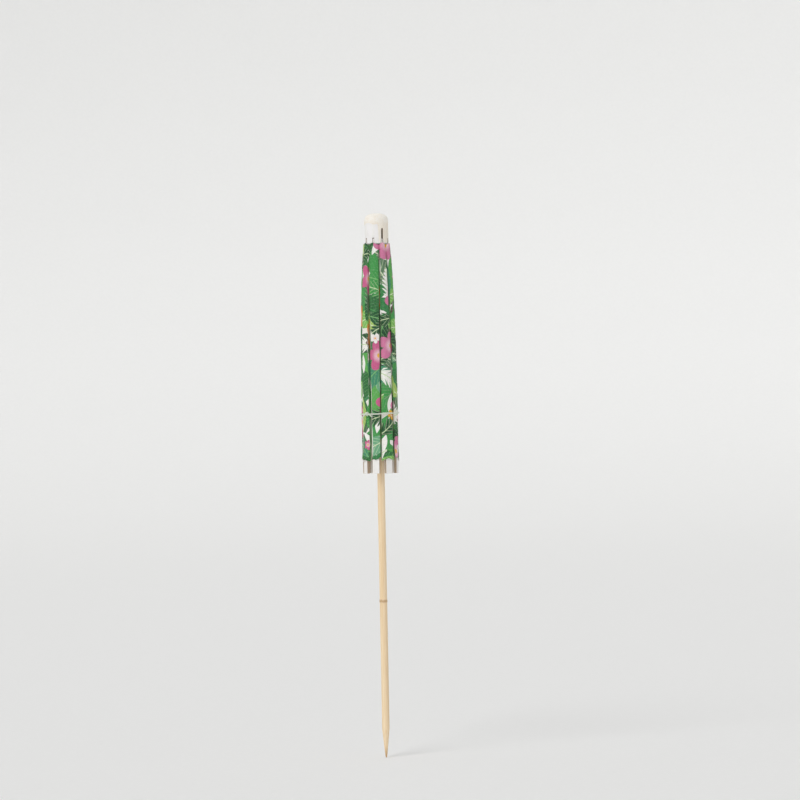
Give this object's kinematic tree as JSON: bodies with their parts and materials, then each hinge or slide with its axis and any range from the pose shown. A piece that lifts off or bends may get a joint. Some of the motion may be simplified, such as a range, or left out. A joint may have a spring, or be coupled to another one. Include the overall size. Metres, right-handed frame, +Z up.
{
  "type": "cocktail umbrella pick",
  "caption": "Slender bamboo cocktail pick with a furled paper parasol tied at its top; the runner slides up the pick to spread the board ribs and the printed canopy.",
  "frame": {"origin": "on the pick axis where the straight shank begins, just above the point", "axes": "+Z up the pick towards the cap; +X towards the first rib"},
  "size_m": [0.0144, 0.0169, 0.2],
  "materials": {
    "bamboo": "satin, straight grain",
    "crown_board": "white-lined board",
    "chalk_cap": "matt dipped chalk and pulp",
    "rolled_paper": "matt rolled paper",
    "waste_paper": "matt rolled waste paper",
    "runner_board": "white-lined board",
    "thread": "spun cotton",
    "clear_tube": "clear soft tubing",
    "tie_thread": "spun cotton",
    "rib_board": "white-lined board, brown cut edges",
    "strut_board": "white-lined board, brown cut edges",
    "printed_paper": "printed tissue, leafy print"
  },
  "bodies": {
    "frame": {"pick": "bamboo", "crown_core": "rolled_paper", "crown_segments": "crown_board", "crown_thread": "thread", "crown_cap": "chalk_cap", "spacer_sleeve": "waste_paper"},
    "runner": {"runner_tube": "rolled_paper", "runner_segments": "runner_board", "runner_thread": "thread"},
    "retainer": {"retainer_ring": "clear_tube"},
    "tie": {"tie_thread": "tie_thread"},
    "rib_1": {"rib_1": "rib_board", "rib_pin_1": "thread"},
    "strut_1": {"strut_1": "strut_board"},
    "gore_1": {"gore_1": "printed_paper"},
    "rib_2": {"rib_2": "rib_board", "rib_pin_2": "thread"},
    "strut_2": {"strut_2": "strut_board"},
    "gore_2": {"gore_2": "printed_paper"},
    "rib_3": {"rib_3": "rib_board", "rib_pin_3": "thread"},
    "strut_3": {"strut_3": "strut_board"},
    "gore_3": {"gore_3": "printed_paper"},
    "rib_4": {"rib_4": "rib_board", "rib_pin_4": "thread"},
    "strut_4": {"strut_4": "strut_board"},
    "gore_4": {"gore_4": "printed_paper"},
    "rib_5": {"rib_5": "rib_board", "rib_pin_5": "thread"},
    "strut_5": {"strut_5": "strut_board"},
    "gore_5": {"gore_5": "printed_paper"},
    "rib_6": {"rib_6": "rib_board", "rib_pin_6": "thread"},
    "strut_6": {"strut_6": "strut_board"},
    "gore_6": {"gore_6": "printed_paper"},
    "rib_7": {"rib_7": "rib_board", "rib_pin_7": "thread"},
    "strut_7": {"strut_7": "strut_board"},
    "gore_7": {"gore_7": "printed_paper"},
    "rib_8": {"rib_8": "rib_board", "rib_pin_8": "thread"},
    "strut_8": {"strut_8": "strut_board"},
    "gore_8": {"gore_8": "printed_paper"}
  },
  "joints": [
    {"name": "runner_slide", "type": "slide", "parent": "frame", "child": "runner", "axis": [0, 0, 1], "range_m": [0, 0.03643], "deforming": ["gore_1", "gore_2", "gore_3", "gore_4", "gore_5", "gore_6", "gore_7", "gore_8", "tie_thread"]},
    {"name": "retainer_slide", "type": "slide", "parent": "frame", "child": "retainer", "axis": [0, 0, 1], "range_m": [0, 0.03643], "deforming": ["gore_1", "gore_2", "gore_3", "gore_4", "gore_5", "gore_6", "gore_7", "gore_8", "tie_thread"]},
    {"name": "tie_slip", "type": "slide", "parent": "frame", "child": "tie", "axis": [0, 0, -1], "range_m": [0, 0.1261], "deforming": ["gore_1", "gore_2", "gore_3", "gore_4", "gore_5", "gore_6", "gore_7", "gore_8", "tie_thread"]},
    {"name": "rib_1_hinge", "type": "hinge", "parent": "frame", "child": "rib_1", "pos_m": [0.0036, 0, 0.1796], "axis": [0, -1, 0], "range_deg": [0, 66], "deforming": ["gore_1", "gore_2", "gore_3", "gore_4", "gore_5", "gore_6", "gore_7", "gore_8", "tie_thread"]},
    {"name": "strut_1_pivot", "type": "hinge", "parent": "rib_1", "child": "strut_1", "pos_m": [0.00408, 0, 0.14964], "axis": [0, 1, 0], "range_deg": [0, 132.02], "deforming": ["gore_1", "gore_2", "gore_3", "gore_4", "gore_5", "gore_6", "gore_7", "gore_8", "tie_thread"]},
    {"name": "gore_1_fan", "type": "hinge", "parent": "rib_1", "child": "gore_1", "pos_m": [0.0036, 0.00149, 0.1796], "axis": [0.7922, 0.3282, -0.5145], "range_deg": [0, 48.12], "deforming": ["gore_1", "gore_2", "gore_3", "gore_4", "gore_5", "gore_6", "gore_7", "gore_8", "tie_thread"]},
    {"name": "rib_2_hinge", "type": "hinge", "parent": "frame", "child": "rib_2", "pos_m": [0.00255, 0.00255, 0.1796], "axis": [0.7071, -0.7071, 0], "range_deg": [0, 66], "deforming": ["gore_1", "gore_2", "gore_3", "gore_4", "gore_5", "gore_6", "gore_7", "gore_8", "tie_thread"]},
    {"name": "strut_2_pivot", "type": "hinge", "parent": "rib_2", "child": "strut_2", "pos_m": [0.00288, 0.00288, 0.14964], "axis": [-0.7071, 0.7071, 0], "range_deg": [0, 132.02], "deforming": ["gore_1", "gore_2", "gore_3", "gore_4", "gore_5", "gore_6", "gore_7", "gore_8", "tie_thread"]},
    {"name": "gore_2_fan", "type": "hinge", "parent": "rib_2", "child": "gore_2", "pos_m": [0.00149, 0.0036, 0.1796], "axis": [0.3282, 0.7922, -0.5145], "range_deg": [0, 48.12], "deforming": ["gore_1", "gore_2", "gore_3", "gore_4", "gore_5", "gore_6", "gore_7", "gore_8", "tie_thread"]},
    {"name": "rib_3_hinge", "type": "hinge", "parent": "frame", "child": "rib_3", "pos_m": [0, 0.0036, 0.1796], "axis": [1, 0, 0], "range_deg": [0, 66], "deforming": ["gore_1", "gore_2", "gore_3", "gore_4", "gore_5", "gore_6", "gore_7", "gore_8", "tie_thread"]},
    {"name": "strut_3_pivot", "type": "hinge", "parent": "rib_3", "child": "strut_3", "pos_m": [0, 0.00408, 0.14964], "axis": [-1, 0, 0], "range_deg": [0, 132.02], "deforming": ["gore_1", "gore_2", "gore_3", "gore_4", "gore_5", "gore_6", "gore_7", "gore_8", "tie_thread"]},
    {"name": "gore_3_fan", "type": "hinge", "parent": "rib_3", "child": "gore_3", "pos_m": [-0.00149, 0.0036, 0.1796], "axis": [-0.3282, 0.7922, -0.5145], "range_deg": [0, 48.12], "deforming": ["gore_1", "gore_2", "gore_3", "gore_4", "gore_5", "gore_6", "gore_7", "gore_8", "tie_thread"]},
    {"name": "rib_4_hinge", "type": "hinge", "parent": "frame", "child": "rib_4", "pos_m": [-0.00255, 0.00255, 0.1796], "axis": [0.7071, 0.7071, 0], "range_deg": [0, 66], "deforming": ["gore_1", "gore_2", "gore_3", "gore_4", "gore_5", "gore_6", "gore_7", "gore_8", "tie_thread"]},
    {"name": "strut_4_pivot", "type": "hinge", "parent": "rib_4", "child": "strut_4", "pos_m": [-0.00288, 0.00288, 0.14964], "axis": [-0.7071, -0.7071, 0], "range_deg": [0, 132.02], "deforming": ["gore_1", "gore_2", "gore_3", "gore_4", "gore_5", "gore_6", "gore_7", "gore_8", "tie_thread"]},
    {"name": "gore_4_fan", "type": "hinge", "parent": "rib_4", "child": "gore_4", "pos_m": [-0.0036, 0.00149, 0.1796], "axis": [-0.7922, 0.3282, -0.5145], "range_deg": [0, 48.12], "deforming": ["gore_1", "gore_2", "gore_3", "gore_4", "gore_5", "gore_6", "gore_7", "gore_8", "tie_thread"]},
    {"name": "rib_5_hinge", "type": "hinge", "parent": "frame", "child": "rib_5", "pos_m": [-0.0036, 0, 0.1796], "axis": [0, 1, 0], "range_deg": [0, 66], "deforming": ["gore_1", "gore_2", "gore_3", "gore_4", "gore_5", "gore_6", "gore_7", "gore_8", "tie_thread"]},
    {"name": "strut_5_pivot", "type": "hinge", "parent": "rib_5", "child": "strut_5", "pos_m": [-0.00408, 0, 0.14964], "axis": [0, -1, 0], "range_deg": [0, 132.02], "deforming": ["gore_1", "gore_2", "gore_3", "gore_4", "gore_5", "gore_6", "gore_7", "gore_8", "tie_thread"]},
    {"name": "gore_5_fan", "type": "hinge", "parent": "rib_5", "child": "gore_5", "pos_m": [-0.0036, -0.00149, 0.1796], "axis": [-0.7922, -0.3282, -0.5145], "range_deg": [0, 48.12], "deforming": ["gore_1", "gore_2", "gore_3", "gore_4", "gore_5", "gore_6", "gore_7", "gore_8", "tie_thread"]},
    {"name": "rib_6_hinge", "type": "hinge", "parent": "frame", "child": "rib_6", "pos_m": [-0.00255, -0.00255, 0.1796], "axis": [-0.7071, 0.7071, 0], "range_deg": [0, 66], "deforming": ["gore_1", "gore_2", "gore_3", "gore_4", "gore_5", "gore_6", "gore_7", "gore_8", "tie_thread"]},
    {"name": "strut_6_pivot", "type": "hinge", "parent": "rib_6", "child": "strut_6", "pos_m": [-0.00288, -0.00288, 0.14964], "axis": [0.7071, -0.7071, 0], "range_deg": [0, 132.02], "deforming": ["gore_1", "gore_2", "gore_3", "gore_4", "gore_5", "gore_6", "gore_7", "gore_8", "tie_thread"]},
    {"name": "gore_6_fan", "type": "hinge", "parent": "rib_6", "child": "gore_6", "pos_m": [-0.00149, -0.0036, 0.1796], "axis": [-0.3282, -0.7922, -0.5145], "range_deg": [0, 48.12], "deforming": ["gore_1", "gore_2", "gore_3", "gore_4", "gore_5", "gore_6", "gore_7", "gore_8", "tie_thread"]},
    {"name": "rib_7_hinge", "type": "hinge", "parent": "frame", "child": "rib_7", "pos_m": [0, -0.0036, 0.1796], "axis": [-1, 0, 0], "range_deg": [0, 66], "deforming": ["gore_1", "gore_2", "gore_3", "gore_4", "gore_5", "gore_6", "gore_7", "gore_8", "tie_thread"]},
    {"name": "strut_7_pivot", "type": "hinge", "parent": "rib_7", "child": "strut_7", "pos_m": [0, -0.00408, 0.14964], "axis": [1, 0, 0], "range_deg": [0, 132.02], "deforming": ["gore_1", "gore_2", "gore_3", "gore_4", "gore_5", "gore_6", "gore_7", "gore_8", "tie_thread"]},
    {"name": "gore_7_fan", "type": "hinge", "parent": "rib_7", "child": "gore_7", "pos_m": [0.00149, -0.0036, 0.1796], "axis": [0.3282, -0.7922, -0.5145], "range_deg": [0, 48.12], "deforming": ["gore_1", "gore_2", "gore_3", "gore_4", "gore_5", "gore_6", "gore_7", "gore_8", "tie_thread"]},
    {"name": "rib_8_hinge", "type": "hinge", "parent": "frame", "child": "rib_8", "pos_m": [0.00255, -0.00255, 0.1796], "axis": [-0.7071, -0.7071, 0], "range_deg": [0, 66], "deforming": ["gore_1", "gore_2", "gore_3", "gore_4", "gore_5", "gore_6", "gore_7", "gore_8", "tie_thread"]},
    {"name": "strut_8_pivot", "type": "hinge", "parent": "rib_8", "child": "strut_8", "pos_m": [0.00288, -0.00288, 0.14964], "axis": [0.7071, 0.7071, 0], "range_deg": [0, 132.02], "deforming": ["gore_1", "gore_2", "gore_3", "gore_4", "gore_5", "gore_6", "gore_7", "gore_8", "tie_thread"]},
    {"name": "gore_8_fan", "type": "hinge", "parent": "rib_8", "child": "gore_8", "pos_m": [0.0036, -0.00149, 0.1796], "axis": [0.7922, -0.3282, -0.5145], "range_deg": [0, 48.12], "deforming": ["gore_1", "gore_2", "gore_3", "gore_4", "gore_5", "gore_6", "gore_7", "gore_8", "tie_thread"]}
  ],
  "couplings": [
    {"joint": "retainer_slide", "follows": "runner_slide", "ratio": 1},
    {"joint": "tie_slip", "follows": "runner_slide", "ratio": 3.4603},
    {"joint": "rib_1_hinge", "follows": "runner_slide", "rad_per_m": 31.62},
    {"joint": "strut_1_pivot", "follows": "runner_slide", "rad_per_m": 63.248},
    {"joint": "gore_1_fan", "follows": "runner_slide", "rad_per_m": 23.054},
    {"joint": "rib_2_hinge", "follows": "runner_slide", "rad_per_m": 31.62},
    {"joint": "strut_2_pivot", "follows": "runner_slide", "rad_per_m": 63.248},
    {"joint": "gore_2_fan", "follows": "runner_slide", "rad_per_m": 23.054},
    {"joint": "rib_3_hinge", "follows": "runner_slide", "rad_per_m": 31.62},
    {"joint": "strut_3_pivot", "follows": "runner_slide", "rad_per_m": 63.248},
    {"joint": "gore_3_fan", "follows": "runner_slide", "rad_per_m": 23.054},
    {"joint": "rib_4_hinge", "follows": "runner_slide", "rad_per_m": 31.62},
    {"joint": "strut_4_pivot", "follows": "runner_slide", "rad_per_m": 63.248},
    {"joint": "gore_4_fan", "follows": "runner_slide", "rad_per_m": 23.054},
    {"joint": "rib_5_hinge", "follows": "runner_slide", "rad_per_m": 31.62},
    {"joint": "strut_5_pivot", "follows": "runner_slide", "rad_per_m": 63.248},
    {"joint": "gore_5_fan", "follows": "runner_slide", "rad_per_m": 23.054},
    {"joint": "rib_6_hinge", "follows": "runner_slide", "rad_per_m": 31.62},
    {"joint": "strut_6_pivot", "follows": "runner_slide", "rad_per_m": 63.248},
    {"joint": "gore_6_fan", "follows": "runner_slide", "rad_per_m": 23.054},
    {"joint": "rib_7_hinge", "follows": "runner_slide", "rad_per_m": 31.62},
    {"joint": "strut_7_pivot", "follows": "runner_slide", "rad_per_m": 63.248},
    {"joint": "gore_7_fan", "follows": "runner_slide", "rad_per_m": 23.054},
    {"joint": "rib_8_hinge", "follows": "runner_slide", "rad_per_m": 31.62},
    {"joint": "strut_8_pivot", "follows": "runner_slide", "rad_per_m": 63.248},
    {"joint": "gore_8_fan", "follows": "runner_slide", "rad_per_m": 23.054}
  ]
}
